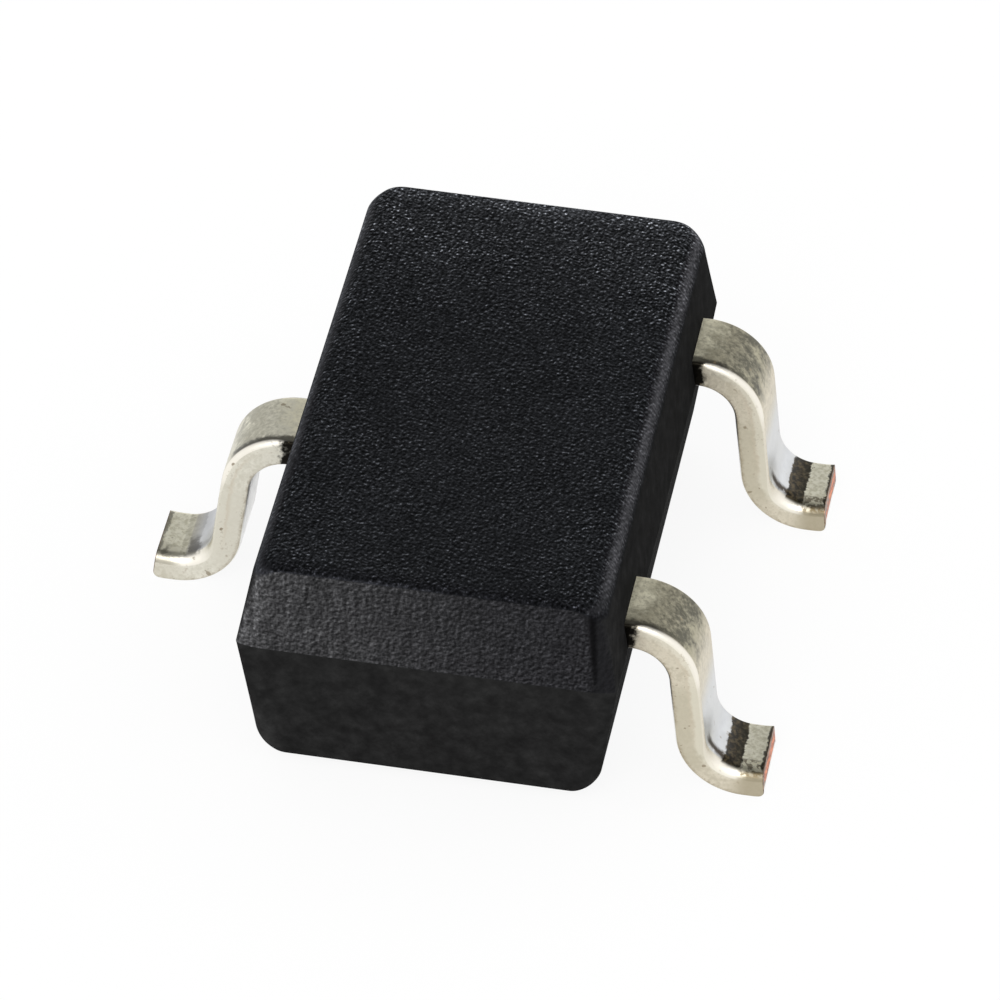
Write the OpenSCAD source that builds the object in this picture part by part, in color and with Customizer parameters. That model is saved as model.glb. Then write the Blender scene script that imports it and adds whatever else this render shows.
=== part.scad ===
// Hall effect sensor in a three-lead, surface-mount moulded package, in millimetres.
//
// The seating plane is Z = 0, under the feet. X runs across the body, with two leads on the +X side and one
// on the -X side, and Y runs along the body. The origin is below the middle of the body.

/* [Body] */
// Width of the body across its parting plane, along X
body_w = 1.7; // [1.5:0.01:2]
// Length of the body along its parting plane, along Y
body_l = 2.9; // [2.7:0.01:3.2]
// Gap between the body's underside and the seating plane
standoff = 0.06; // [0.01:0.01:0.1]
// Height of the lower half, from the underside to the parting plane
lower_h = 0.705; // [0.6:0.005:0.8]
// Height of the upper half, from the parting plane to the top
upper_h = 0.445; // [0.4:0.005:0.6]
// Draft of the long sides above the parting plane, in degrees
side_draft_top = 9.5; // [3:0.5:14]
// Draft of the ends above the parting plane, in degrees
end_draft_top = 3; // [2:0.5:12]
// Draft of the long sides below the parting plane, in degrees
side_draft_bottom = 7; // [3:0.5:12]
// Draft of the ends below the parting plane, in degrees
end_draft_bottom = 10; // [3:0.5:12]
// Radius of the long edges round the top
top_edge_r = 0.12; // [0.05:0.01:0.15]
// Radius of the long edges round the underside
bottom_edge_r = 0.16; // [0.08:0.01:0.2]
// Radius of the short edges at the two ends
end_edge_r = 0.025; // [0.01:0.005:0.06]

/* [Upright corners of the body] */
// How far the corner's cut reaches along the end of the body at the parting plane
parting_cut_x = 0.08; // [0.02:0.005:0.12]
// How far it reaches along the long side there
parting_cut_y = 0.02; // [0.01:0.005:0.06]
// How far the cut reaches along the end at the top
top_cut_x = 0.04; // [0.02:0.005:0.1]
// How far it reaches along the long side at the top
top_cut_y = 0.085; // [0.02:0.005:0.12]
// How far the cut reaches along the end at the underside
bottom_cut_x = 0.01; // [0.005:0.005:0.06]
// How far it reaches along the long side at the underside
bottom_cut_y = 0.04; // [0.01:0.005:0.08]

/* [Leads] */
// Distance between the middles of the two leads on the +X side
lead_pitch = 1.9; // [1.8:0.01:2]
// Width of a lead outside the body
lead_w = 0.35; // [0.3:0.01:0.45]
// Thickness of the sheet that the leads are cut from
lead_t = 0.135; // [0.1:0.005:0.16]
// Straight stretch between the body and the upper bend
exit_len = 0.01; // [0.005:0.005:0.1]
// Inside radius of the upper bend
upper_bend_r = 0.18; // [0.1:0.01:0.22]
// Inside radius of the lower bend
lower_bend_r = 0.18; // [0.1:0.01:0.22]
// Slope of the leg, in degrees from level
leg_angle = 83; // [70:1:88]
// Flat stretch of the sole
sole_len = 0.04; // [0.02:0.01:0.2]
// How far the toe turns up, in degrees
toe_angle = 6; // [2:1:12]
// Inside radius of the toe's upturn
toe_bend_r = 0.1; // [0.05:0.01:0.3]
// Straight stretch at the toe, up to the cut
toe_len = 0.035; // [0.03:0.005:0.1]
// Radius that the shear leaves on the toe's lower edge
toe_roll_r = 0.03; // [0.01:0.005:0.03]

/* [Lead frame inside the body] */
// How far the formed strip of a lead reaches into the body
lead_seat = 0.1; // [0.06:0.01:0.15]
// Size of the die paddle along X
paddle_l = 0.76; // [0.66:0.01:0.8]
// Size of the die paddle along Y
paddle_w = 1.3; // [1:0.01:1.4]
// Length of the neck from the body's side to the paddle
neck_len = 0.39; // [0.36:0.01:0.45]
// Gap between the paddle and the bonding pads beside it
pad_gap = 0.12; // [0.08:0.01:0.16]
// How far a bonding pad reaches in from the body's side
pad_reach = 0.9; // [0.6:0.01:1.1]
// How much further out along Y a bonding pad is than its lead's edge
pad_flare = 0.1; // [0.05:0.01:0.14]
// Radius of the corners of the paddle and the pads
pad_corner_r = 0.05; // [0.02:0.01:0.08]
// Radius of the notches that lock the leads in the moulding
lock_notch_r = 0.06; // [0.03:0.005:0.08]
// Distance from the body's side to the middle of the notches
lock_notch_in = 0.2; // [0.18:0.01:0.24]

/* [Die] */
// Size of the die along X
die_l = 0.6; // [0.5:0.01:0.64]
// Size of the die along Y
die_w = 0.84; // [0.7:0.01:0.9]
// Thickness of the die
die_t = 0.13; // [0.1:0.005:0.15]
// Thickness of the adhesive under the die
attach_t = 0.02; // [0.01:0.005:0.03]
// How far the adhesive shows all round the die
attach_margin = 0.02; // [0.01:0.005:0.03]
// Distance from the die's edges to the middle of its bond spots
bond_inset = 0.08; // [0.06:0.01:0.12]

/* [Bond wires] */
// Diameter of the wire
wire_d = 0.03; // [0.02:0.005:0.04]
// Diameter of the ball that joins the wire to the die
ball_d = 0.07; // [0.05:0.005:0.09]
// Height of that ball
ball_h = 0.018; // [0.01:0.002:0.03]
// Moulding left over the top of the wires
wire_cover = 0.055; // [0.04:0.005:0.08]
// Length of the flattened stitch that joins the wire to the lead
stitch_len = 0.09; // [0.06:0.01:0.12]
// Width of that stitch
stitch_w = 0.05; // [0.04:0.005:0.07]
// Height of that stitch
stitch_h = 0.02; // [0.01:0.002:0.03]

/* [Hidden] */
$fn = 64;

MOULD_COLOUR = [0.13, 0.13, 0.14];
TIN_COLOUR = [0.80, 0.79, 0.74];
ADHESIVE_COLOUR = [0.78, 0.76, 0.72];
SILICON_COLOUR = [0.36, 0.38, 0.44];
WIRE_COLOUR = [0.86, 0.69, 0.32];

// A cut reaches this far past the surface that it opens
cut_over = 0.02;
// The block that cuts the corners stays this far outside the body's other faces
corner_clear = 0.002;
// Share of a wire's run at which its loop is highest
loop_peak_share = 0.3;
// How finely a wire is drawn
wire_sides = 8;
rise_steps = 4;
fall_steps = 8;

parting_z = standoff + lower_h;
body_top = parting_z + upper_h;
lead_top = parting_z + lead_t;
attach_top = lead_top + attach_t;
die_top = attach_top + die_t;

side_x = body_w / 2;
lead_y = lead_pitch / 2;

paddle_x0 = neck_len - side_x;
paddle_x = paddle_x0 + paddle_l / 2;
pad_x0 = side_x - pad_reach;
pad_x1 = side_x - 2 * lead_seat;
neck_x = side_x - lead_seat / 2;
pad_y0 = paddle_w / 2 + pad_gap;
pad_y1 = lead_y + lead_w / 2 + pad_flare;

// Bond spots on the die, and where the stitches are on the leads
spot_x = paddle_x + die_l / 2 - bond_inset;
spot_y = die_w / 2 - bond_inset;
ground_spot_x = paddle_x - die_l / 2 + bond_inset;
ground_stitch_x = paddle_x0 - stitch_len;
pad_stitch = [(pad_x0 + pad_x1) / 2, (pad_y0 + pad_y1) / 2];

function unit(v) = v / norm(v);

// Half of the angle between a corner's two sides
function half_corner(a, b, c) = acos(unit(a - b) * unit(c - b)) / 2;

// A corner's round starts this far along each of its sides
function setback(a, b, c, r) = r / tan(half_corner(a, b, c));

function round_centre(a, b, c, r) = b + unit(unit(a - b) + unit(c - b)) * r / sin(half_corner(a, b, c));

// Faces of a solid swept through n rings of m points each
function tube_faces(n, m) = concat(
    [for (i = [0:n - 2]) for (k = [0:m - 1])
        [i * m + k, i * m + (k + 1) % m, (i + 1) * m + (k + 1) % m, (i + 1) * m + k]],
    [[for (k = [m - 1:-1:0]) k], [for (k = [0:m - 1]) (n - 1) * m + k]]);

// Outline with a true arc at each corner: its radius is above 0 at a corner that points outwards, below 0 at one
// that points inwards, and 0 where the corner is sharp
module rounded_outline(points, radii) {
    n = len(points);
    difference() {
        union() {
            polygon([for (i = [0:n - 1])
                let (a = points[(i + n - 1) % n], b = points[i], c = points[(i + 1) % n],
                     s = setback(a, b, c, abs(radii[i])))
                each radii[i] == 0 ? [b] : [b + unit(a - b) * s, b + unit(c - b) * s]]);
            corner_discs(points, radii, 1);
        }
        corner_discs(points, radii, -1);
    }
}

module corner_discs(points, radii, side) {
    n = len(points);
    for (i = [0:n - 1])
        if (radii[i] * side > 0)
            translate(round_centre(points[(i + n - 1) % n], points[i], points[(i + 1) % n], abs(radii[i])))
                circle(r = abs(radii[i]));
}

module rounded_rectangle(low, high, r) {
    rounded_outline([low, [high[0], low[1]], high, [low[0], high[1]]], [r, r, r, r]);
}

// Half of the body's cross-section widths at the top, the parting plane and the underside, as one outline
module body_outline(half, draft_top, draft_bottom, r_top, r_bottom) {
    top = half - upper_h * tan(draft_top);
    bottom = half - lower_h * tan(draft_bottom);
    rounded_outline(
        [[-bottom, standoff], [bottom, standoff], [half, parting_z], [top, body_top], [-top, body_top],
         [-half, parting_z]],
        [r_bottom, r_bottom, 0, r_top, r_top, 0]);
}

// Eight points round the body at one level, clockwise from above, of a block that is a little larger than the
// body but passes through the two ends of each corner's cut
function corner_ring(half, cut, z) =
    let (x = half[0] + corner_clear, y = half[1] + corner_clear,
         end_x = half[0] - cut[0] - corner_clear * cut[0] / cut[1],
         side_y = half[1] - cut[1] - corner_clear * cut[1] / cut[0])
    [[x, -side_y, z], [end_x, -y, z], [-end_x, -y, z], [-x, -side_y, z],
     [-x, side_y, z], [-end_x, y, z], [end_x, y, z], [x, side_y, z]];

// Half of the body's size at a height above or below the parting plane
function half_body(h, side_draft, end_draft) = [side_x - h * tan(side_draft), body_l / 2 - h * tan(end_draft)];

// Every second face is a corner's: it is twisted, so it is two triangles that meet along its outward diagonal
function corner_block_faces() = concat(
    [for (i = [0, 1]) for (k = [0:7])
        let (a = 8 * i + k, b = 8 * i + (k + 1) % 8, c = b + 8, d = a + 8)
        each k % 2 == 1 ? [[a, b, c, d]]
            : (i == 1) == (k % 4 == 0) ? [[a, b, c], [a, c, d]]
            : [[a, b, d], [b, c, d]]],
    [[for (k = [7:-1:0]) k], [for (k = [0:7]) 16 + k]]);

// The block whose upright corners the body takes
module corner_block() {
    middle = corner_ring(half_body(0, 0, 0), [parting_cut_x, parting_cut_y], parting_z);
    high = corner_ring(half_body(upper_h, side_draft_top, end_draft_top), [top_cut_x, top_cut_y], body_top);
    low = corner_ring(half_body(lower_h, side_draft_bottom, end_draft_bottom), [bottom_cut_x, bottom_cut_y],
                      standoff);
    polyhedron(
        concat([for (k = [0:7]) middle[k] + (low[k] - middle[k]) * (1 + cut_over / lower_h)],
               middle,
               [for (k = [0:7]) middle[k] + (high[k] - middle[k]) * (1 + cut_over / upper_h)]),
        corner_block_faces());
}

// The moulding before anything is cast into it: one outline seen from the end, one seen from the side, and its
// upright corners
module body_form() {
    intersection() {
        corner_block();
        translate([0, body_l / 2 + cut_over, 0])
            rotate([90, 0, 0])
                linear_extrude(body_l + 2 * cut_over)
                    body_outline(side_x, side_draft_top, side_draft_bottom, top_edge_r, bottom_edge_r);
        translate([-side_x - cut_over, 0, 0])
            rotate([90, 0, 90])
                linear_extrude(body_w + 2 * cut_over)
                    body_outline(body_l / 2, end_draft_top, end_draft_bottom, end_edge_r, end_edge_r);
    }
}

// A lead's path as X past the body's side: end of the straight exit, start and end of the sole
heel_x = exit_len + (upper_bend_r + lower_bend_r + lead_t) * tan(leg_angle / 2) + parting_z / tan(leg_angle);
ball_x = heel_x + sole_len;
// The faces are drawn this far past their last corner, and cut back at the toe
past_toe = toe_bend_r + toe_len + lead_t;

// Corners of a lead's face that lies a given height over its lower face, before the bends are rounded
function face_corners(up) =
    let (low = lead_t - up)
    [[ball_x + (toe_bend_r + low) * tan(toe_angle / 2), up],
     [heel_x - (lower_bend_r + low) * tan(leg_angle / 2), up],
     [exit_len + (upper_bend_r + up) * tan(leg_angle / 2), parting_z + up]];

// Everything below one face of a lead, from well inside the body to well past the toe
module below_face(up, depth) {
    low = lead_t - up;
    corners = face_corners(up);
    left = -upper_bend_r - lead_t - lead_seat - depth;
    right = corners[0] + (past_toe + depth) * [cos(toe_angle), sin(toe_angle)];
    rounded_outline(
        concat([[left, -depth], [right[0], -depth], right], corners, [[left, parting_z + up]]),
        [0, 0, 0, -toe_bend_r - low, -lower_bend_r - low, upper_bend_r + up, 0]);
}

// Everything past the cut end of the toe, and the corner that the shear has rolled off its lower edge
module past_cut_end() {
    translate(face_corners(0)[0])
        rotate(toe_angle)
            translate([(toe_bend_r + lead_t) * tan(toe_angle / 2) + toe_len, 0])
                difference() {
                    polygon([[-toe_roll_r, -cut_over], [past_toe, -cut_over], [past_toe, lead_t + cut_over],
                             [0, lead_t + cut_over], [0, toe_roll_r], [-toe_roll_r, 0]]);
                    translate([-toe_roll_r, toe_roll_r])
                        circle(r = toe_roll_r);
                }
}

// Side view of a lead from its seat in the body to the toe, with X from the body's side
module strip_profile() {
    difference() {
        below_face(lead_t, cut_over);
        below_face(0, 2 * cut_over);
        past_cut_end();
        translate([-body_w, -cut_over])
            square([body_w - lead_seat, body_top + 2 * cut_over]);
    }
}

// Lead from inside the body's +X side to the toe, with its middle on Y = 0
module formed_strip() {
    translate([side_x, lead_w / 2, 0])
        rotate([90, 0, 0])
            linear_extrude(lead_w)
                strip_profile();
}

// Two round notches in the edges of a lead whose middle is on Y = 0
module lock_notches() {
    for (side = [-1, 1])
        translate([side_x - lock_notch_in, side * lead_w / 2])
            circle(r = lock_notch_r);
}

// Lead with a bonding pad, on the +X side at +Y
module bonded_lead() {
    translate([0, lead_y, 0])
        formed_strip();
    translate([0, 0, parting_z])
        linear_extrude(lead_t)
            difference() {
                union() {
                    rounded_rectangle([pad_x0, pad_y0], [pad_x1, pad_y1], pad_corner_r);
                    translate([pad_x0 + pad_corner_r, lead_y - lead_w / 2])
                        square([neck_x - pad_x0 - pad_corner_r, lead_w]);
                }
                translate([0, lead_y])
                    lock_notches();
            }
}

// Lead that widens into the die paddle, on the -X side
module paddle_lead() {
    rotate([0, 0, 180])
        formed_strip();
    translate([0, 0, parting_z])
        linear_extrude(lead_t)
            difference() {
                union() {
                    rounded_rectangle([paddle_x0, -paddle_w / 2], [paddle_x0 + paddle_l, paddle_w / 2], pad_corner_r);
                    translate([-neck_x, -lead_w / 2])
                        square([paddle_x + neck_x, lead_w]);
                }
                rotate(180)
                    lock_notches();
            }
}

// Block that stands on a given level, centred on the paddle
module block_on_paddle(l, w, level, t) {
    translate([paddle_x - l / 2, -w / 2, level])
        cube([l, w, t]);
}

// The wire's path in the upright plane through its two ends: distance along its run, and height
function wire_path(reach, low, high, end) =
    let (peak = reach * loop_peak_share)
    concat(
        [for (i = [0:rise_steps]) let (a = 90 * i / rise_steps) [peak * (1 - cos(a)), low + (high - low) * sin(a)]],
        [for (i = [1:fall_steps]) let (u = i / fall_steps)
            [peak + (reach - peak) * u, end + (high - end) * (1 + cos(180 * u)) / 2]]);

// Direction of the path at one of its points
function wire_slope(path, i) = unit(path[min(i + 1, len(path) - 1)] - path[max(i - 1, 0)]);

// Wire from a bond spot on the die to a place on a lead: ball, loop and stitch
module bond_wire(spot, place) {
    reach = norm(place - spot);
    turn = atan2(place[1] - spot[1], place[0] - spot[0]);
    high = body_top - wire_cover - wire_d / 2;
    path = wire_path(reach, die_top + ball_h / 2, high, lead_top + wire_d / 2);
    n = len(path);
    m = wire_sides;
    points = [for (i = [0:n - 1]) let (s = wire_slope(path, i)) for (k = [0:m - 1]) let (a = 360 * (k + 0.5) / m)
        [path[i][0] - s[1] * cos(a) * wire_d / 2, sin(a) * wire_d / 2, path[i][1] + s[0] * cos(a) * wire_d / 2]];
    translate([spot[0], spot[1], 0])
        rotate([0, 0, turn])
            union() {
                polyhedron(points, tube_faces(n, m));
                translate([0, 0, die_top])
                    cylinder(h = ball_h, d = ball_d);
                translate([reach - stitch_len / 2, -stitch_w / 2, lead_top])
                    cube([stitch_len, stitch_w, stitch_h]);
            }
}

module lead_supply() {
    color(TIN_COLOUR)
        mirror([0, 1, 0])
            bonded_lead();
}

module lead_output() {
    color(TIN_COLOUR)
        bonded_lead();
}

module lead_ground() {
    color(TIN_COLOUR)
        paddle_lead();
}

module die_attach() {
    color(ADHESIVE_COLOUR)
        block_on_paddle(die_l + 2 * attach_margin, die_w + 2 * attach_margin, lead_top, attach_t);
}

module hall_die() {
    color(SILICON_COLOUR)
        block_on_paddle(die_l, die_w, attach_top, die_t);
}

module bond_wire_supply() {
    color(WIRE_COLOUR)
        bond_wire([spot_x, -spot_y], [pad_stitch[0], -pad_stitch[1]]);
}

module bond_wire_output() {
    color(WIRE_COLOUR)
        bond_wire([spot_x, spot_y], pad_stitch);
}

module bond_wire_ground() {
    color(WIRE_COLOUR)
        bond_wire([ground_spot_x, 0], [ground_stitch_x, 0]);
}

// The moulding is cast round the leads, the die and the wires, so its hollows are exactly their shapes
module moulded_body() {
    color(MOULD_COLOUR)
        difference() {
            body_form();
            lead_supply();
            lead_output();
            lead_ground();
            die_attach();
            hall_die();
            bond_wire_supply();
            bond_wire_output();
            bond_wire_ground();
        }
}

moulded_body();
lead_supply();
lead_output();
lead_ground();
die_attach();
hall_die();
bond_wire_supply();
bond_wire_output();
bond_wire_ground();
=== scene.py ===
"""Looks of the hall effect sensor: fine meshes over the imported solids, materials, light and camera.

Sizes are in millimetres and are scaled to metres as each mesh is made. The axes are those of the part: the
seating plane is Z = 0, X runs across the body with two leads on the +X side, and Y runs along the body.
"""
import math

import bpy
from mathutils import Matrix, Vector


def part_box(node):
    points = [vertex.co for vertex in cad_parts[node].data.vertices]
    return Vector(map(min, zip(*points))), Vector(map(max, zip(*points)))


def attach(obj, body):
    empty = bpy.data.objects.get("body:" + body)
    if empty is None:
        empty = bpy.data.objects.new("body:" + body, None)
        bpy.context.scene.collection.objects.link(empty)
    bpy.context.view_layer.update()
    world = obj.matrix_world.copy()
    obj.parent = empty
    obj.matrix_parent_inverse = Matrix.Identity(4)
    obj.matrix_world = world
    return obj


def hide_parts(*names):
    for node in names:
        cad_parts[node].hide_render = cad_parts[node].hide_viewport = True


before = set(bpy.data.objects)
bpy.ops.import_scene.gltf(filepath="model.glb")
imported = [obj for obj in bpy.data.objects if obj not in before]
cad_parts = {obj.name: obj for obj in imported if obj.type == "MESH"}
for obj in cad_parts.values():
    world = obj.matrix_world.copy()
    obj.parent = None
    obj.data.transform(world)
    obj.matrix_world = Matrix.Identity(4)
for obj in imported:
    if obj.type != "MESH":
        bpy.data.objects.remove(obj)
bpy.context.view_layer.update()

MM = 0.001

# Body, as the part's source has it
BODY_LOW, BODY_HIGH = (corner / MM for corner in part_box("moulded_body"))
SIDE_X = BODY_HIGH.x
END_Y = BODY_HIGH.y
STANDOFF = BODY_LOW.z
BODY_TOP = BODY_HIGH.z
PARTING_Z = 0.765
SIDE_DRAFT_TOP = 9.5
END_DRAFT_TOP = 3
SIDE_DRAFT_BOTTOM = 7
END_DRAFT_BOTTOM = 10
TOP_EDGE_R = 0.12
BOTTOM_EDGE_R = 0.16
END_EDGE_R = 0.025
# Cut at the upright corners, at three heights: its reach along the end and along the side, then the lengths
# over which its edges at the side and at the end are softened. The softening is done here only.
PARTING_CUT = (0.08, 0.02, 0.02, 0.05)
TOP_CUT = (0.04, 0.085, 0.045, 0.045)
BOTTOM_CUT = (0.01, 0.04, 0.018, 0.018)

# Leads, as the part's source has them
LEAD_Y = 0.95
LEAD_W = 0.35
LEAD_T = 0.135
EXIT_LEN = 0.01
UPPER_BEND_R = 0.18
LOWER_BEND_R = 0.18
LEG_ANGLE = 83
SOLE_LEN = 0.04
TOE_ANGLE = 6
TOE_BEND_R = 0.1
TOE_LEN = 0.035
TOE_ROLL_R = 0.03
LEAD_SEAT = 0.1
# The long edges of the leads are rounded here only. The radius of the upper edge that faces -Y changes along
# the lead, as these pairs of distance from the body and radius say. The left lead's other upper edge is
# rounded too, and all other edges stay nearly sharp.
EDGE_RADII = (
    (0, 0.018), (0.08, 0.034), (0.3, 0.032), (0.45, 0.014), (0.7, 0.014), (0.9, 0.062), (1.15, 0.055))
FAR_EDGE_R = 0.03
SHARP_EDGE_R = 0.014
# Zones of the plating, as distances along a lead from the body
LEG_ZONE = (0.40, 0.86)
HEEL_BAND_ZONE = (0.915, 1.034)
CUT_END = (1.1485, 1.1510)

# Lead frame inside the body, as the part's source has it. Each outline is in its lead's own frame: the
# lead's middle is on Y = 0 and its foot is towards +X.
PADDLE_X = (-0.3, 0.46)
PADDLE_W = 1.3
PAD_X = (-0.05, 0.65)
PAD_Y = (-0.18, 0.275)
NECK_X = 0.8
PLATE_CORNER_R = 0.05
NOTCH_R = 0.06
NOTCH_X = 0.65

# Camera, as fitted to the photograph
VIEW_AZIMUTH = 8.9322
VIEW_ELEVATION = 39.1472
VIEW_ROLL = 1.8194
VIEW_DISTANCE = 35.8945
VIEW_TARGET = Vector((0.0935, -0.0715, 0.6432))
FOCAL_PX = 7940.8
IMAGE_PX = 1000
SENSOR = 36

FLOOR_HALF = 150
LAMP_DISTANCE = 120


# Meshes

def make_object(name, points, faces, sharp_degrees, attributes=None):
    """A smooth-shaded object from points in millimetres, with edges above an angle kept sharp."""
    mesh = bpy.data.meshes.new(name)
    mesh.from_pydata([Vector(p) * MM for p in points], [], faces)
    for key, values in (attributes or {}).items():
        layer = mesh.attributes.new(key, "FLOAT_VECTOR", "POINT")
        for item, value in zip(layer.data, values):
            item.vector = value
    mesh.validate()
    mesh.polygons.foreach_set("use_smooth", [True] * len(mesh.polygons))
    mesh.set_sharp_from_angle(angle=math.radians(sharp_degrees))
    obj = bpy.data.objects.new(name, mesh)
    bpy.context.scene.collection.objects.link(obj)
    return obj


def tube_faces(rings, ring_size):
    """Faces of a closed tube through equal rings, with its two ends closed."""
    faces = []
    for i in range(rings - 1):
        for k in range(ring_size):
            after = (k + 1) % ring_size
            faces.append((i * ring_size + k, i * ring_size + after,
                          (i + 1) * ring_size + after, (i + 1) * ring_size + k))
    faces.append(tuple(reversed(range(ring_size))))
    faces.append(tuple(range((rings - 1) * ring_size, rings * ring_size)))
    return faces


class BodySection:
    """Half-width of the body over its height along one axis: two drafted sides and two rounded edges."""

    def __init__(self, half, draft_top, draft_bottom, top_r, bottom_r):
        self.half = half
        self.arcs = []
        halves = ((1, draft_top, top_r, BODY_TOP), (-1, draft_bottom, bottom_r, STANDOFF))
        for sign, draft, r, end_z in halves:
            slope = math.radians(draft)
            reach = half - abs(end_z - PARTING_Z) * math.tan(slope)
            centre = (reach - r / math.tan(math.radians(45) + slope / 2), end_z - sign * r)
            self.arcs.append((sign, slope, r, centre))

    def levels(self, steps):
        """Heights at which the rounded edges are sampled evenly."""
        found = []
        for sign, slope, r, centre in self.arcs:
            for i in range(steps + 1):
                turn = slope + (math.pi / 2 - slope) * i / steps
                found.append(centre[1] + sign * r * math.sin(turn))
        return found

    def width(self, z):
        """Half-width at one height."""
        sign, slope, r, centre = self.arcs[0 if z >= PARTING_Z else 1]
        over = (z - centre[1]) * sign
        if over > r * math.sin(slope):
            return centre[0] + math.sqrt(max(r * r - over * over, 0))
        return self.half - abs(z - PARTING_Z) * math.tan(slope)


def corner_cut(z):
    """Reach of an upright corner's cut at a height, along the end and along the side, and its softenings."""
    if z >= PARTING_Z:
        share, other = (z - PARTING_Z) / (BODY_TOP - PARTING_Z), TOP_CUT
    else:
        share, other = (PARTING_Z - z) / (PARTING_Z - STANDOFF), BOTTOM_CUT
    return [near + (far - near) * share for near, far in zip(PARTING_CUT, other)]


def body_ring(half_x, half_y, z):
    """The body's outline at one height, counter-clockwise from above, with its four corners cut."""
    cut_x, cut_y, soft_side, soft_end = corner_cut(z)
    on_side, on_end = Vector((half_x, half_y - cut_y)), Vector((half_x - cut_x, half_y))
    across = (on_end - on_side).normalized()
    bends = ((on_side, Vector((0, 1)), across, soft_side), (on_end, across, Vector((-1, 0)), soft_end))
    bend_steps = 12
    corner = []
    for middle, before, after, soft in bends:
        start, end = middle - before * soft, middle + after * soft
        for i in range(bend_steps + 1):
            share = i / bend_steps
            corner.append(start * (1 - share) ** 2 + middle * 2 * share * (1 - share) + end * share ** 2)
    ring = []
    for sx, sy in ((1, 1), (-1, 1), (-1, -1), (1, -1)):
        ring += [(sx * p.x, sy * p.y, z) for p in (corner if sx * sy > 0 else reversed(corner))]
    return ring


def make_body():
    """The moulding's outer skin, in rings from the underside to the top."""
    across = BodySection(SIDE_X, SIDE_DRAFT_TOP, SIDE_DRAFT_BOTTOM, TOP_EDGE_R, BOTTOM_EDGE_R)
    along = BodySection(END_Y, END_DRAFT_TOP, END_DRAFT_BOTTOM, END_EDGE_R, END_EDGE_R)
    between = [STANDOFF + 0.1 * i for i in range(1, 12)]
    levels = across.levels(16) + along.levels(8) + between + [PARTING_Z]
    heights = sorted(set(round(z, 6) for z in levels))
    rings = [body_ring(across.width(z), along.width(z), z) for z in heights]
    points = [point for ring in rings for point in ring]
    return make_object("body_skin", points, tube_faces(len(rings), len(rings[0])), sharp_degrees=9)


def lead_path():
    """The lead's middle line on the +X side, as (x, z, heading in radians, distance from the body)."""
    x, z, heading, run = SIDE_X - LEAD_SEAT, PARTING_Z + LEAD_T / 2, 0, -LEAD_SEAT
    path = [(x, z, heading, run)]

    def ahead(length, steps):
        nonlocal x, z, run
        for _ in range(steps):
            x += math.cos(heading) * length / steps
            z += math.sin(heading) * length / steps
            run += length / steps
            path.append((x, z, heading, run))

    def bend(inside_r, degrees, steps):
        nonlocal x, z, heading, run
        middle_r = inside_r + LEAD_T / 2
        start = (x, z, heading)
        side = math.copysign(middle_r, degrees)
        for i in range(1, steps + 1):
            heading = start[2] + math.radians(degrees) * i / steps
            x = start[0] + side * (math.sin(heading) - math.sin(start[2]))
            z = start[1] - side * (math.cos(heading) - math.cos(start[2]))
            run += middle_r * math.radians(abs(degrees)) / steps
            path.append((x, z, heading, run))

    slope = math.radians(LEG_ANGLE)
    bend_drop = (UPPER_BEND_R + LOWER_BEND_R + LEAD_T) * (1 - math.cos(slope))
    ahead(LEAD_SEAT + EXIT_LEN, 4)
    bend(UPPER_BEND_R, -LEG_ANGLE, 28)
    ahead((PARTING_Z - bend_drop) / math.sin(slope), 8)
    bend(LOWER_BEND_R, LEG_ANGLE, 28)
    ahead(SOLE_LEN, 2)
    bend(TOE_BEND_R, TOE_ANGLE, 4)
    ahead(TOE_LEN - TOE_ROLL_R, 1)
    return path


def edge_radius(run):
    """Radius of the upper edge that faces -Y at a distance from the body."""
    for (start, start_r), (end, end_r) in zip(EDGE_RADII, EDGE_RADII[1:]):
        if run < end:
            share = max(run - start, 0) / (end - start)
            return start_r + (end_r - start_r) * share * share * (3 - 2 * share)
    return EDGE_RADII[-1][1]


def lead_section(near, near_r, far_r, lift=0):
    """Section of a lead with rounded edges: each point's place and facing, both across and up.

    The upper edge on the near side, which is 1 or -1, has its own radius, and so has the other upper edge.
    The lower face is raised by the lift.
    """
    high, low = LEAD_T / 2, lift - LEAD_T / 2
    # The radii shrink where the lift leaves the section thin
    near_r = min(near_r, (high - low) * 0.7)
    far_r = min(far_r, (high - low) * 0.7)
    sharp_r = min(SHARP_EDGE_R, (high - low) * 0.2)
    upper = {near: near_r, -near: far_r}
    corners = ((1, high, upper[1]), (-1, high, upper[-1]), (-1, low, sharp_r), (1, low, sharp_r))
    arc_steps = 8
    arcs = []
    for quarter, (side, level, r) in enumerate(corners):
        centre = (side * (LEAD_W / 2 - r), level - r if quarter < 2 else level + r)
        turns = [math.radians(90 * (quarter + i / arc_steps)) for i in range(arc_steps + 1)]
        arcs.append([(centre[0] + r * math.cos(a), centre[1] + r * math.sin(a), math.cos(a), math.sin(a))
                     for a in turns])
    section = []
    for quarter, points in enumerate(arcs):
        section += points
        start, end = points[-1], arcs[(quarter + 1) % 4][0]
        flat_steps = 10 if quarter in (0, 2) else 3
        for i in range(1, flat_steps):
            share = i / flat_steps
            section.append((start[0] + (end[0] - start[0]) * share,
                            start[1] + (end[1] - start[1]) * share, start[2], start[3]))
    return section


def arc(x, y, r, start, end):
    """Points on an arc, with its angles in degrees."""
    steps = max(2, round(abs(end - start) / 15))
    turns = [math.radians(start + (end - start) * i / steps) for i in range(steps + 1)]
    return [(x + r * math.cos(a), y + r * math.sin(a)) for a in turns]


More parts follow.
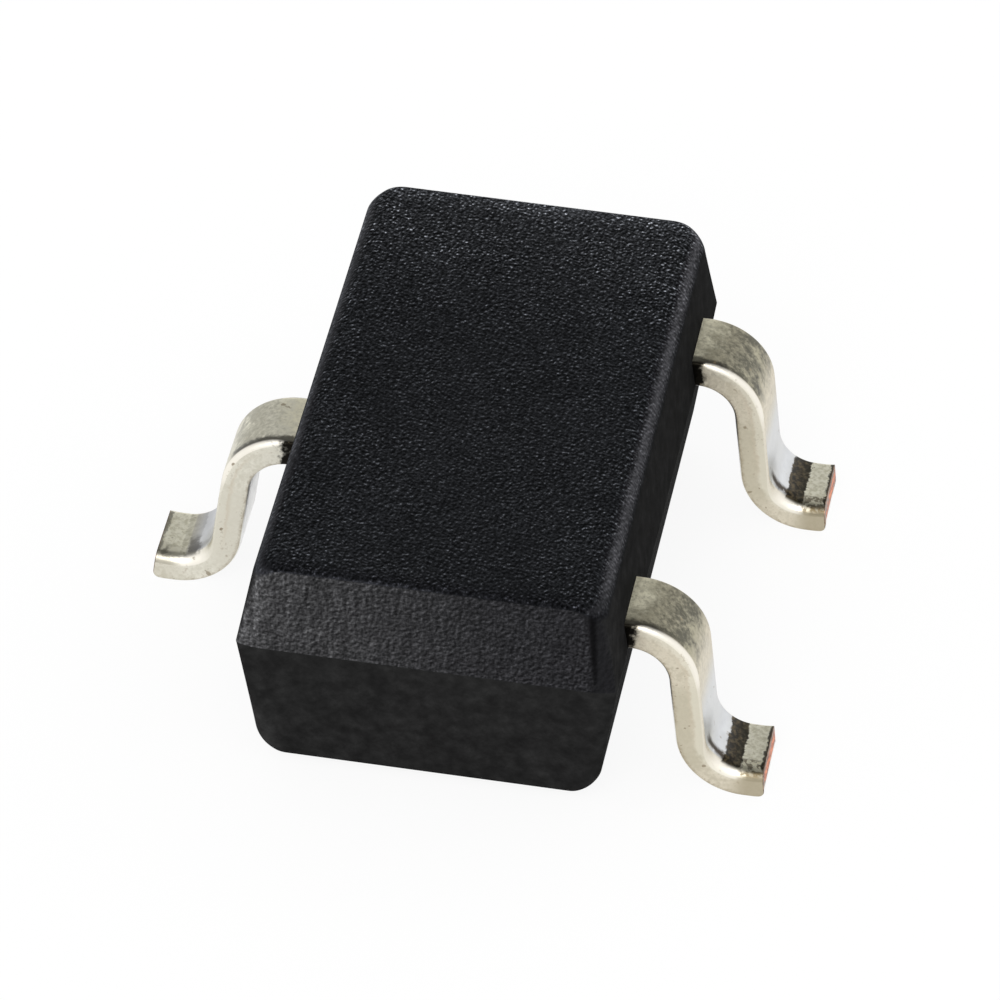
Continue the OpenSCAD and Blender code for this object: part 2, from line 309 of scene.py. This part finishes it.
def pad_outline():
    """Bonding pad and neck of a lead, counter-clockwise."""
    r, half = PLATE_CORNER_R, LEAD_W / 2
    return (arc(PAD_X[0] + r, PAD_Y[0] + r, r, 180, 270) + arc(NOTCH_X, -half, NOTCH_R, 185, 0)
            + [(NECK_X, -half), (NECK_X, half)] + arc(NOTCH_X, half, NOTCH_R, 0, -270)
            + arc(PAD_X[1] - r, PAD_Y[1] - r, r, 12, 90) + arc(PAD_X[0] + r, PAD_Y[1] - r, r, 90, 180))


def paddle_outline():
    """Die paddle and its neck, counter-clockwise."""
    r, half, far = PLATE_CORNER_R, LEAD_W / 2, PADDLE_W / 2
    return (arc(PADDLE_X[0] + r, r - far, r, 180, 270) + arc(PADDLE_X[1] - r, r - far, r, 270, 360)
            + [(PADDLE_X[1], -half)] + arc(NOTCH_X, -half, NOTCH_R, 180, 0)
            + [(NECK_X, -half), (NECK_X, half)]
            + arc(NOTCH_X, half, NOTCH_R, 0, -180) + [(PADDLE_X[1], half)]
            + arc(PADDLE_X[1] - r, far - r, r, 0, 90) + arc(PADDLE_X[0] + r, far - r, r, 90, 180))


def lead_mesh(outline, near, far_r):
    """One whole lead in its own frame: points, faces, and each point's place and facing for the material."""
    rings = [(place, lead_section(near, edge_radius(place[3]), far_r)) for place in lead_path()]
    x, z, heading, run = rings[-1][0]
    roll_steps = 5
    for i in range(1, roll_steps + 1):
        turn = math.radians(90 * i / roll_steps)
        ahead = TOE_ROLL_R * math.sin(turn)
        place = (x + ahead * math.cos(heading), z + ahead * math.sin(heading), heading, run + ahead)
        lift = TOE_ROLL_R * (1 - math.cos(turn))
        rings.append((place, lead_section(near, edge_radius(place[3]), far_r, lift)))
    points, places, facings = [], [], []
    for (x, z, heading, run), section in rings:
        for across, up, facing_across, facing_up in section:
            points.append((x - up * math.sin(heading), across, z + up * math.cos(heading)))
            places.append((run, across, up))
            facings.append((facing_across, facing_up, 0))
    faces = [tuple(reversed(face)) for face in tube_faces(len(rings), len(rings[0][1]))]

    # The plate inside the body, away from every zone of the plating
    first, n = len(points), len(outline)
    for level in (PARTING_Z, PARTING_Z + LEAD_T):
        points += [(px, py, level) for px, py in outline]
    places += [(-1, 0, 0)] * (2 * n)
    facings += [(0, 1, 0)] * (2 * n)
    faces += [tuple(reversed(range(first, first + n))), tuple(range(first + n, first + 2 * n))]
    for i in range(n):
        low, after = first + i, first + (i + 1) % n
        faces.append((low, after, after + n, low + n))
    return points, faces, places, facings


def make_lead(name, node, outline, material, middle_y, far_r=SHARP_EDGE_R, turned=False, mirrored=False):
    """A lead at its place. A turned lead stands on the -X side; a mirrored one has its pad towards -Y."""
    sx, sy = (-1, -1) if turned else (1, -1 if mirrored else 1)
    points, faces, places, facings = lead_mesh(outline, -sy, far_r)
    points = [(sx * px, sy * py + middle_y, pz) for px, py, pz in points]
    # The material's place and facing across a lead are counted towards +Y on every lead
    places = [(run, sy * across, up) for run, across, up in places]
    facings = [(sy * across, up, 0) for across, up, _ in facings]
    if sx * sy < 0:
        faces = [tuple(reversed(face)) for face in faces]
    attributes = {"place": places, "facing": facings}
    lead = make_object(name, points, faces, sharp_degrees=40, attributes=attributes)
    lead.data.materials.append(material)
    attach(lead, "root")
    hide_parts(node)


# Materials

def srgb(red, green, blue):
    """A colour written as 0 to 255, as the shader needs it."""
    def linear(v):
        v /= 255
        return v / 12.92 if v <= 0.04045 else ((v + 0.055) / 1.055) ** 2.4
    return (linear(red), linear(green), linear(blue), 1)


class Tree:
    """A node tree. Its calls add nodes, and most of them give back the socket to go on from."""

    def __init__(self, owner):
        owner.use_nodes = True
        self.tree = owner.node_tree
        self.tree.nodes.clear()

    def node(self, kind, inputs=None, **settings):
        new = self.tree.nodes.new(kind)
        for key, value in settings.items():
            setattr(new, key, value)
        for key, value in (inputs or {}).items():
            if isinstance(value, bpy.types.NodeSocket):
                self.tree.links.new(value, new.inputs[key])
            else:
                new.inputs[key].default_value = value
        return new

    def math(self, operation, *values):
        return self.node("ShaderNodeMath", dict(enumerate(values)), operation=operation).outputs[0]

    def sum_of(self, *terms):
        out = terms[0]
        for term in terms[1:]:
            out = self.math("ADD", out, term)
        return out

    def product(self, *factors):
        out = factors[0]
        for factor in factors[1:]:
            out = self.math("MULTIPLY", out, factor)
        return out

    def centred(self, value):
        """A value from 0 to 1 moved to lie around 0."""
        return self.math("SUBTRACT", value, 0.5)

    def ramp(self, value, low, high, to_low=0.0, to_high=1.0):
        """A smooth step from to_low at low to to_high at high."""
        inputs = {"Value": value, "From Min": low, "From Max": high, "To Min": to_low, "To Max": to_high}
        return self.node("ShaderNodeMapRange", inputs, interpolation_type="SMOOTHSTEP").outputs["Result"]

    def window(self, value, low, high, soft):
        """1 between low and high, fading to 0 outside them."""
        rise = self.ramp(value, low - soft, low + soft)
        fall = self.ramp(value, high - soft, high + soft, 1.0, 0.0)
        return self.product(rise, fall)

    def mix(self, factor, a, b):
        """A colour between a and b."""
        new = self.node("ShaderNodeMix", data_type="RGBA", clamp_factor=True)
        for key, value in (("Factor_Float", factor), ("A_Color", a), ("B_Color", b)):
            socket = next(s for s in new.inputs if s.identifier == key)
            if isinstance(value, bpy.types.NodeSocket):
                self.tree.links.new(value, socket)
            else:
                socket.default_value = value
        return next(s for s in new.outputs if s.identifier == "Result_Color")

    def blend(self, factor, a, b):
        """A number between a and b."""
        return self.math("ADD", a, self.product(factor, self.math("SUBTRACT", b, a)))

    def scaled(self, vector, scale):
        inputs = {0: vector, 1: scale}
        return self.node("ShaderNodeVectorMath", inputs, operation="MULTIPLY").outputs[0]

    def noise(self, vector, scale, detail=2.0, roughness=0.5):
        """Noise whose features are about 1 / scale millimetres across, with a scale for each axis.

        It is turned away from the axes, so that no face of the part shows its grid.
        """
        inputs = {"Vector": self.scaled(vector, scale), "Rotation": (0.6, 0.5, 0.4)}
        skewed = self.node("ShaderNodeVectorRotate", inputs, rotation_type="EULER_XYZ").outputs[0]
        inputs = {"Vector": skewed, "Scale": 1.0, "Detail": detail, "Roughness": roughness}
        return self.node("ShaderNodeTexNoise", inputs).outputs["Fac"]

    def relief(self, vector, scale, shift, share, **settings):
        """A fine noise around 0, less a share of the one at a shift, as if lit from there."""
        moved = self.node("ShaderNodeVectorMath", {0: vector, 1: shift}, operation="ADD").outputs[0]
        here = self.centred(self.noise(vector, scale, **settings))
        there = self.centred(self.noise(moved, scale, **settings))
        return self.math("SUBTRACT", here, self.product(there, share))

    def shaded(self, colour, amount):
        """A colour times e to the power of an amount."""
        inputs = {0: colour, "Scale": self.math("EXPONENT", amount)}
        return self.node("ShaderNodeVectorMath", inputs, operation="SCALE").outputs[0]

    def split(self, vector):
        return self.node("ShaderNodeSeparateXYZ", {0: vector}).outputs

    def millimetres(self):
        """Place on the object, in millimetres."""
        return self.scaled(self.node("ShaderNodeTexCoord").outputs["Object"], (1 / MM, 1 / MM, 1 / MM))

    def attribute(self, name):
        return self.node("ShaderNodeAttribute", attribute_name=name).outputs["Vector"]

    def bump(self, height, strength, distance):
        inputs = {"Height": height, "Strength": strength, "Distance": distance * MM}
        return self.node("ShaderNodeBump", inputs).outputs["Normal"]

    def output(self, kind, shader):
        """Link a shader to a new output node."""
        self.tree.links.new(shader, self.node(kind).inputs["Surface"])

    def surface(self, inputs):
        self.output("ShaderNodeOutputMaterial", self.node("ShaderNodeBsdfPrincipled", inputs).outputs[0])


def mould_material():
    """Near-black moulding compound: a speckled grain above the parting line and a smooth skin below it."""
    material = bpy.data.materials.new("mould_compound")
    t = Tree(material)
    place = t.millimetres()
    x, y, z = t.split(place)
    normal = t.split(t.node("ShaderNodeNewGeometry").outputs["Normal"])
    across_facing = t.math("ABSOLUTE", normal[0])
    end_facing = t.math("ABSOLUTE", normal[1])

    top = t.ramp(normal[2], 0.22, 0.5)
    above = t.ramp(z, PARTING_Z - 0.004, PARTING_Z + 0.004)
    end = t.product(t.ramp(end_facing, 0.30, 0.75), above)
    corner = t.product(t.ramp(across_facing, 0.04, 0.26), end)
    right = t.ramp(x, -0.3, 0.3)
    left = t.ramp(x, -0.3, 0.3, 1.0, 0.0)
    front = t.ramp(y, -0.5, 0.5, 1.0, 0.0)

    # The top is darkest along its front edge, and has a painted highlight where it rolls over its long edges
    top_colour = t.mix(t.ramp(y, 0.4, 1.4), srgb(25, 26, 28), srgb(32, 33, 35))
    top_colour = t.mix(t.ramp(y, 0.03 - END_Y, 0.13 - END_Y, 0.6, 0.0), top_colour, srgb(14, 14, 17))
    rolled = t.product(t.ramp(normal[2], 0.72, 0.94, 1.0, 0.0), t.ramp(normal[2], 0.34, 0.72),
                       t.ramp(across_facing, 0.25, 0.5))
    behind_front_edge = t.ramp(y, 0.02 - END_Y, 0.35 - END_Y, 0.2, 1.0)
    painted_highlight = t.product(rolled, behind_front_edge, t.blend(right, 0.25, 1.0))
    top_colour = t.mix(painted_highlight, top_colour, srgb(63, 63, 66))
    # Painted sheen lightens the top towards its back edge and where it rolls over its left long edge
    painted_back_sheen = t.ramp(y, END_Y - 0.19, END_Y - 0.03, 0.0, 0.8)
    painted_left_sheen = t.product(t.ramp(normal[2], 0.50, 0.82, 1.15, 0.0), left)

    # Its grain is short dashes in painted light and shade, as if embossed, the brightest as painted glints,
    # more strongly at the back and the sides
    dashes = t.relief(place, (68, 62, 62), (-0.004, 0.009, 0), 0.40, detail=1.0)
    dashes = t.sum_of(dashes, t.ramp(dashes, 0.11, 0.27, 0.0, 0.10))
    to_sides = t.ramp(t.math("ABSOLUTE", x), 0.3, 0.8, 0.0, 1.3)
    strength = t.sum_of(t.ramp(y, 0.0, 1.3, 5.6, 7.6), to_sides)
    strength = t.product(strength, t.blend(rolled, 1.0, 0.35), t.ramp(normal[2], 0.25, 0.75, 0.35, 1.0))
    strength = t.product(strength, t.ramp(t.noise(place, (4.5, 4.5, 4.5)), 0.3, 0.7, 0.85, 1.1))
    patches = t.centred(t.noise(place, (3.2, 3.2, 3.2), detail=3.0))
    top_shade = t.sum_of(t.product(dashes, strength), t.product(patches, 0.7), painted_back_sheen, painted_left_sheen)
    top_colour = t.shaded(top_colour, top_shade)

    # The front end is lighter at the left, a painted light, with faint streaks and pits in painted light and
    # shade. Its corner has more painted light at the left but a painted shade at the right. The back end is
    # even.
    pocks = t.relief(place, (58, 58, 58), (-0.005, 0, 0.006), 0.5, detail=1.0)
    streaks = t.centred(t.noise(place, (55, 10, 7), detail=1.0))
    end_shade = t.sum_of(t.product(pocks, 4.2), t.product(streaks, t.ramp(x, -0.9, 0.5, 1.9, 0.8)))
    end_shade = t.product(end_shade, t.blend(t.product(corner, right), 1.0, 0.3))
    end_shade = t.sum_of(end_shade, t.product(corner, front, t.blend(right, 0.45, -0.35)))
    # A painted shade, as in a crease, leans along the corner cut at the right
    crease_x = SIDE_X - PARTING_CUT[0]
    lean = t.product(t.math("SUBTRACT", z, PARTING_Z), 0.075)
    crease_shade = t.window(t.sum_of(x, lean), crease_x - 0.024, crease_x, 0.010)
    crease_shade = t.product(crease_shade, t.ramp(z, PARTING_Z, PARTING_Z + 0.2, 0.5, 1.1), front)
    end_shade = t.math("SUBTRACT", end_shade, crease_shade)
    end_colour = t.mix(t.ramp(x, -1.0, 0.6), srgb(56, 56, 57), srgb(36, 36, 38))
    end_colour = t.shaded(t.mix(front, srgb(42, 42, 44), end_colour), end_shade)

    # The rest is a smooth, mottled skin, with a painted shade on the long sides, less at their front ends,
    # and lighter at the front's lower left
    mottle = t.centred(t.noise(place, (14, 14, 14), detail=4.0, roughness=0.66))
    at_left_edge = t.ramp(x, 0.08 - SIDE_X, 0.24 - SIDE_X, 0.75, 0.0)
    lighter_lower_left = t.product(at_left_edge, t.ramp(z, 0.15, 0.45, 1.0, 0.0), front)
    side_colour = t.mix(t.ramp(y, -END_Y, 0.6 - END_Y), srgb(34, 34, 34), srgb(25, 25, 25))
    smooth_colour = t.mix(t.ramp(across_facing, 0.5, 0.9), srgb(33, 33, 33), side_colour)
    smooth_colour = t.shaded(smooth_colour, t.sum_of(t.product(mottle, 2.15), lighter_lower_left))

    colour = t.mix(end, smooth_colour, end_colour)
    colour = t.mix(top, colour, top_colour)
    # The rounded lower edges are darker, a painted shade
    colour = t.mix(t.window(normal[2], -0.88, -0.45, 0.15), colour, srgb(12, 12, 12))

    t.surface({
        "Base Color": colour,
        "Roughness": 0.9,
        "Specular IOR Level": 0.02,
        "Normal": t.bump(t.product(pocks, t.math("MAXIMUM", end, top)), 0.1, 0.003),
    })
    return material


def tin_material(name, patina, sides, leg_shade, leg_shine, soiled, exit_reach, shade_reach):
    """Matt tin plating over copper: mottled above, creamy and pitted at the sides, bare at the cut end.

    The upper bend's patina and the sides each drift between two colours, and the sides have a shade of their
    own down the leg. There the painted highlight on the long edges keeps the share leg_shine. The dark marks
    and the painted dark reflection round the foot are as strong as soiled says. At the body, the painted
    shadow on the sides reaches as far as exit_reach, and the painted dark reflection above reaches
    shade_reach.
    """
    material = bpy.data.materials.new(name)
    t = Tree(material)
    place = t.millimetres()
    # Distance along the lead from the body, distance across it from its middle, and height over its middle
    run, across, up = t.split(t.attribute("place"))
    facing = t.split(t.attribute("facing"))
    upper = t.ramp(facing[1], 0.90, 0.985)
    rounded = t.window(facing[1], 0.22, 0.93, 0.06)
    side = t.ramp(t.math("ABSOLUTE", facing[0]), 0.75, 0.97)

    blotch = t.noise(place, (11, 11, 11), detail=4.0, roughness=0.65)
    fine = t.noise(place, (48, 48, 48), detail=3.0, roughness=0.6)
    pits = t.noise(place, (24, 24, 24), detail=2.0, roughness=0.5)
    # Zones wander a little, so that none ends on a ruled line
    wander = t.product(t.centred(blotch), 0.05)
    drift = t.sum_of(wander, t.product(t.centred(fine), 0.03))
    loose_run = t.sum_of(run, drift)
    loose_across = t.sum_of(across, drift)
    loose_up = t.sum_of(up, drift)
    ragged_run = t.sum_of(run, t.product(t.centred(blotch), 0.25))

    even_cloud = t.sum_of(t.product(blotch, 0.5), t.product(fine, 0.5))
    colour = t.mix(t.ramp(even_cloud, 0.38, 0.62), *sides)

    def stain(factor, shade, share=1.0):
        nonlocal colour
        colour = t.mix(t.product(factor, share), colour, shade)

    # The bend's outer face has a dull patina that thins out down the leg, with a painted dark reflection
    # darkening it most on its crown
    cloud = t.sum_of(t.product(blotch, 0.6), t.product(fine, 0.4))
    crown = t.window(ragged_run, 0.115, 0.24, 0.06)
    patina_share = t.ramp(t.math("SUBTRACT", cloud, t.product(crown, 0.14)), 0.28, 0.60)
    stain(t.product(upper, t.window(loose_run, -0.2, 0.30, 0.06)), t.mix(patina_share, *patina))
    # It is light beside the body, and has a painted dark reflection along its near edge
    from_body = t.math("SUBTRACT", ragged_run, t.product(across, 0.2))
    beside_body = t.product(upper, t.window(from_body, -0.3, 0.025, 0.060),
                            t.ramp(fine, 0.36, 0.56, 0.7, 1.0))
    stain(beside_body, srgb(252, 247, 220))
    painted_dark_reflection = t.product(t.ramp(facing[1], 0.75, 0.92), t.ramp(loose_across, -0.112, -0.138),
                          t.window(loose_run, -0.1, shade_reach, 0.05))
    stain(painted_dark_reflection, srgb(58, 56, 50), 0.85)

    # The leg's outer face, its sides, and a painted highlight on the long edges, which turn darker on the
    # foot
    stain(t.product(upper, t.window(run, 0.5, 0.93, 0.1)), srgb(216, 217, 217))
    stain(t.product(upper, t.window(run, 0.82, 0.95, 0.05)), srgb(192, 194, 197), 0.8)
    on_leg = t.window(run, *LEG_ZONE, 0.06)
    stain(t.product(side, on_leg), leg_shade, 0.7)
    shine = t.product(t.ramp(loose_run, 0.02, 0.06), t.ramp(loose_run, 1.01, 1.06, 1.0, 0.0),
                      t.blend(on_leg, 1.0, leg_shine))
    stain(t.product(rounded, shine), srgb(252, 247, 236), 0.9)
    stain(t.product(rounded, t.ramp(loose_run, 1.04, 1.09)), srgb(108, 101, 86), 0.25 + 0.65 * soiled)

    # A painted dark reflection at the near edge of the lower bend, the foot, and a dark band in its heel
    near_edge = t.window(t.sum_of(across, wander), -0.128, -0.088, 0.014)
    painted_edge_reflection = t.product(t.ramp(facing[1], 0.70, 0.85), near_edge, t.window(loose_run, 0.74, 0.97, 0.04),
                        t.ramp(blotch, 0.36, 0.46))
    stain(painted_edge_reflection, srgb(54, 44, 32), 0.95 * soiled)
    above_foot = t.ramp(facing[1], 0.80, 0.95)
    foot_colour = t.mix(t.ramp(fine, 0.35, 0.62), srgb(226, 222, 198), srgb(255, 252, 232))
    stain(t.product(t.ramp(run, 0.985, 1.0), above_foot), foot_colour)
    heel_band_colour = t.mix(t.ramp(fine, 0.42, 0.66), srgb(28, 23, 15), srgb(80, 69, 48))
    stain(t.product(t.window(loose_run, *HEEL_BAND_ZONE, 0.006), above_foot), heel_band_colour, 0.95 * soiled)

    # A cleaner lead has a smear in its heel and a spot on its toe, a soiled one a smudge along its near edge
    for low, high, reach in ((0.90, 0.99, -0.03), (1.08, 1.12, -0.09)):
        spot = t.product(t.ramp(facing[1], 0.70, 0.90), t.window(ragged_run, low, high, 0.02),
                         t.window(loose_across, -0.16, reach, 0.03))
        stain(spot, srgb(52, 48, 40), 0.8 * (1 - soiled))
    smudge = t.product(t.ramp(facing[1], 0.25, 0.60), t.ramp(run, 1.01, 1.05),
                       t.ramp(loose_across, -0.065, -0.085), t.ramp(fine, 0.42, 0.54))
    stain(smudge, srgb(96, 84, 60), 0.8 * soiled)
    stain(t.product(upper, t.ramp(loose_run, 1.134, 1.142)), srgb(40, 32, 24), 0.5 + 0.4 * soiled)

    # The sides are browner at the foot, and lighter in their upper half
    stain(t.product(side, t.ramp(loose_run, 0.98, 1.08)), srgb(172, 162, 138), 0.8 * soiled)
    upper_half = t.product(side, t.ramp(loose_up, 0.0, 0.03), t.window(loose_run, 0.05, 1.0, 0.05))
    stain(upper_half, srgb(234, 230, 214), 0.5 * soiled)
    # They are scuffed along the lower edge and here and there, with a faint drawn line along them
    low_scuffs = t.product(side, t.ramp(loose_up, -0.062, -0.040, 1.0, 0.0), t.ramp(blotch, 0.40, 0.56))
    stain(low_scuffs, srgb(140, 124, 98), 0.6)
    stain(t.product(side, t.ramp(fine, 0.52, 0.68), t.ramp(blotch, 0.50, 0.62)), srgb(150, 134, 110), 0.35)
    drawn_line = t.product(side, t.window(loose_up, 0.010, 0.022, 0.010), t.window(loose_run, 0.2, 0.7, 0.1))
    stain(drawn_line, srgb(186, 166, 138), 0.3)
    # A painted shadow where the sides leave the body, and pits all over
    painted_exit_shadow = t.product(t.ramp(facing[1], 0.93, 0.85), t.window(ragged_run, -0.3, exit_reach, 0.022))
    stain(painted_exit_shadow, srgb(24, 22, 18))
    stain(t.ramp(pits, 0.68, 0.76), srgb(132, 118, 94), 0.7)

    # The cut end is torn, with bare copper in its upper part
    cut_end = t.ramp(run, *CUT_END)
    stain(cut_end, t.mix(t.ramp(fine, 0.35, 0.65), srgb(60, 38, 24), srgb(160, 130, 104)))
    copper = t.mix(t.ramp(fine, 0.38, 0.62), srgb(150, 66, 32), srgb(238, 140, 84))
    bare = t.product(cut_end, t.window(loose_up, -0.014, 0.042, 0.010), t.ramp(loose_across, -0.15, -0.13),
                     t.ramp(blotch, 0.36, 0.46))
    stain(bare, copper)
    # The lower face is clean
    stain(t.ramp(facing[1], -0.5, -0.8), srgb(250, 250, 248))

    t.surface({
        "Base Color": colour,
        "Metallic": 1.0,
        "Roughness": t.blend(t.ramp(blotch, 0.3, 0.7), 0.32, 0.46),
        "Normal": t.bump(t.sum_of(fine, blotch), 0.5, 0.0022),
    })
    return material


def plain_material(name, low, high, grain, **surface):
    """A simple inner material: one colour that drifts to another over a fine grain."""
    material = bpy.data.materials.new(name)
    t = Tree(material)
    pattern = t.noise(t.millimetres(), (grain, grain, grain), detail=3.0)
    inputs = {"Base Color": t.mix(t.ramp(pattern, 0.35, 0.65), low, high)}
    inputs.update({key.replace("_", " ").title(): value for key, value in surface.items()})
    t.surface(inputs)
    return material


# Light, floor and camera

def make_world():
    """White behind the part. Reflections are white near the ground, greyer high at the back, dark above."""
    world = bpy.data.worlds.new("studio")
    bpy.context.scene.world = world
    t = Tree(world)
    direction = t.split(t.node("ShaderNodeTexCoord").outputs["Generated"])
    rays = t.node("ShaderNodeLightPath").outputs
    at_back = t.ramp(direction[1], -0.25, 0.35)
    high_back = t.ramp(direction[2], 0.12, 0.50, 1.0, 0.52)
    overhead = t.ramp(direction[2], 0.72, 0.93, 1.0, 0.12)
    studio = t.product(t.blend(at_back, 1.0, high_back), overhead)
    shown = t.math("MAXIMUM", rays["Is Camera Ray"], rays["Is Transmission Ray"])
    strength = t.blend(rays["Is Glossy Ray"], 0.85, studio)
    strength = t.blend(shown, strength, 1.0)
    background = t.node("ShaderNodeBackground", {"Color": (1, 1, 1, 1), "Strength": strength})
    t.output("ShaderNodeOutputWorld", background.outputs[0])


def make_floor():
    """A white floor that keeps a soft shadow."""
    corners = [(sx * FLOOR_HALF, sy * FLOOR_HALF, 0) for sx, sy in ((-1, -1), (1, -1), (1, 1), (-1, 1))]
    floor = make_object("floor", corners, [(0, 1, 2, 3)], sharp_degrees=30)
    material = bpy.data.materials.new("floor")
    t = Tree(material)
    rays = t.node("ShaderNodeLightPath").outputs
    diffuse = t.node("ShaderNodeBsdfDiffuse", {"Color": (0.92, 0.92, 0.92, 1)}).outputs[0]
    white = t.node("ShaderNodeEmission", {"Color": (1, 1, 1, 1), "Strength": 1.0}).outputs[0]
    seen = t.math("MAXIMUM", rays["Is Camera Ray"], rays["Is Glossy Ray"])
    seen = t.math("MAXIMUM", seen, rays["Is Transmission Ray"])
    mixed = t.node("ShaderNodeMixShader", {0: t.product(seen, 0.9), 1: diffuse, 2: white}).outputs[0]
    t.output("ShaderNodeOutputMaterial", mixed)
    floor.data.materials.append(material)


def make_lamp(name, azimuth, elevation, size, power):
    """A soft square lamp that faces the part, with its azimuth counted from +Y towards +X."""
    lamp = bpy.data.lights.new(name, "AREA")
    lamp.size = size * MM
    lamp.energy = power
    obj = bpy.data.objects.new(name, lamp)
    a, e = math.radians(azimuth), math.radians(elevation)
    towards = Vector((math.sin(a) * math.cos(e), math.cos(a) * math.cos(e), math.sin(e)))
    obj.location = (VIEW_TARGET + towards * LAMP_DISTANCE) * MM
    obj.rotation_euler = towards.to_track_quat("Z", "Y").to_euler()
    bpy.context.scene.collection.objects.link(obj)


def make_camera():
    """The camera, with its azimuth counted from -Y towards +X."""
    a, e, roll = (math.radians(v) for v in (VIEW_AZIMUTH, VIEW_ELEVATION, VIEW_ROLL))
    back = Vector((math.sin(a) * math.cos(e), -math.cos(a) * math.cos(e), math.sin(e)))
    level = Vector((math.cos(a), math.sin(a), 0))
    upright = back.cross(level)
    right = level * math.cos(roll) + upright * math.sin(roll)
    up = upright * math.cos(roll) - level * math.sin(roll)
    data = bpy.data.cameras.new("camera")
    data.sensor_fit = "HORIZONTAL"
    data.sensor_width = SENSOR
    data.lens = FOCAL_PX / IMAGE_PX * SENSOR
    data.clip_start = 1 * MM
    data.clip_end = 2
    camera = bpy.data.objects.new("camera", data)
    turn = Matrix((right, up, back)).transposed().to_4x4()
    turn.translation = (VIEW_TARGET + back * VIEW_DISTANCE) * MM
    camera.matrix_world = turn
    bpy.context.scene.collection.objects.link(camera)
    bpy.context.scene.camera = camera


make_camera()
make_world()
make_floor()
make_lamp("front", azimuth=186, elevation=42, size=70, power=0.060)
make_lamp("back_right", azimuth=42, elevation=18, size=100, power=0.020)

body = make_body()
body.data.materials.append(mould_material())
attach(body, "root")
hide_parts("moulded_body")

dull_tin = tin_material("plated_lead_dull", patina=(srgb(84, 82, 71), srgb(168, 163, 142)),
                        sides=(srgb(200, 192, 172), srgb(222, 214, 195)), leg_shade=srgb(193, 186, 165),
                        leg_shine=0.4, soiled=1.0, exit_reach=0.030, shade_reach=0.13)
bright_tin = tin_material("plated_lead_bright", patina=(srgb(164, 161, 145), srgb(228, 225, 208)),
                          sides=(srgb(210, 206, 191), srgb(230, 227, 214)), leg_shade=srgb(214, 210, 196),
                          leg_shine=0.1, soiled=0.25, exit_reach=0.06, shade_reach=0.26)
make_lead("formed_lead_supply", "lead_supply", pad_outline(), dull_tin, -LEAD_Y, mirrored=True)
make_lead("formed_lead_output", "lead_output", pad_outline(), dull_tin, LEAD_Y)
make_lead("formed_lead_ground", "lead_ground", paddle_outline(), bright_tin, 0,
          far_r=FAR_EDGE_R, turned=True)

inner = {
    "die_attach": plain_material("adhesive", srgb(176, 170, 160), srgb(205, 200, 190), 60, roughness=0.6),
    "hall_die": plain_material("silicon", srgb(86, 90, 104), srgb(104, 109, 126), 30, roughness=0.15),
}
gold = plain_material("bond_wire", srgb(226, 178, 92), srgb(238, 196, 116), 90, metallic=1.0, roughness=0.2)
for wire in ("bond_wire_supply", "bond_wire_output", "bond_wire_ground"):
    inner[wire] = gold
for name, material in inner.items():
    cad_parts[name].data.materials.clear()
    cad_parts[name].data.materials.append(material)

bpy.context.scene.view_settings.view_transform = "Standard"
